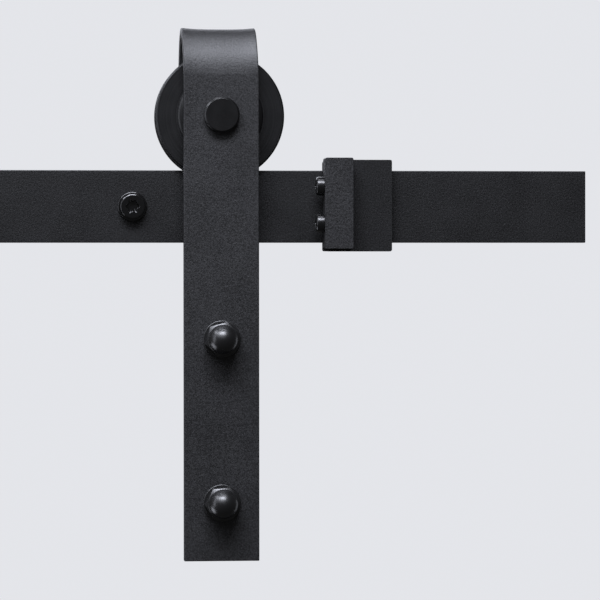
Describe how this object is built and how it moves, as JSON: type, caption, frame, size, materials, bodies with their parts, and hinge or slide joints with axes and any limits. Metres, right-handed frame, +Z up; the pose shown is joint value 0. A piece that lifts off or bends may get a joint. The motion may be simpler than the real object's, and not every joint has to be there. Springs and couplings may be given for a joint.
{
  "type": "sliding barn door hardware",
  "caption": "Flat-bar sliding door rail on wall spacers, with a strap hanger looped over a grooved ball-bearing wheel and a clamp-on end stop, in black powder-coated steel.",
  "frame": {"origin": "on the wall plane, midway between the two wall fixings, at the rail's mid height", "axes": "+X along the rail towards its right-hand end, +Y into the wall, +Z up"},
  "size_m": [0.5, 0.122, 0.294],
  "materials": {
    "powder_coat": "fine-grained matte powder coat",
    "turned_black": "smooth satin black over turned steel",
    "matte_black": "smooth matte black",
    "satin_black": "satin black",
    "black_zinc": "glossy black zinc plate",
    "bearing_steel": "ground steel",
    "shield_steel": "dull steel",
    "cage_brass": "satin"
  },
  "bodies": {
    "rail": {"rail": "powder_coat", "wall_spacers": "powder_coat", "rail_washers": "black_zinc", "wall_screws": "black_zinc"},
    "hanger": {"strap": "powder_coat", "axle_bolt": "matte_black", "axle_sleeve_front": "bearing_steel", "axle_sleeve_back": "bearing_steel", "axle_washer": "satin_black", "axle_nut": "satin_black", "bearing_inner_ring": "bearing_steel", "door_bolt_upper": "satin_black", "door_bolt_lower": "satin_black", "door_back_washers": "satin_black", "front_washer_upper": "satin_black", "front_washer_lower": "satin_black", "cap_nut_upper": "satin_black", "cap_nut_lower": "satin_black"},
    "wheel": {"wheel": "turned_black", "bearing_outer_ring": "bearing_steel", "bearing_balls": "bearing_steel", "ball_cage": "cage_brass", "bearing_shield_front": "shield_steel", "bearing_shield_back": "shield_steel", "wheel_circlip": "shield_steel"},
    "stop": {"stop_clamp": "powder_coat", "strike_block": "powder_coat", "strike_screws": "black_zinc", "block_screws": "black_zinc", "set_screws": "black_zinc"}
  },
  "joints": [
    {"name": "trolley_slide", "type": "slide", "parent": "rail", "child": "hanger", "axis": [1, 0, 0], "range_m": [-0.25, 0.0314]},
    {"name": "wheel_roll", "type": "hinge", "parent": "hanger", "child": "wheel", "pos_m": [0.1482, -0.033, 0.0499], "axis": [0, 1, 0], "range_deg": [-482, 62]},
    {"name": "stop_slide", "type": "slide", "parent": "rail", "child": "stop", "axis": [1, 0, 0], "range_m": [0, 0.105]}
  ],
  "couplings": [
    {"joint": "wheel_roll", "follows": "trolley_slide", "rad_per_m": 33.557}
  ]
}
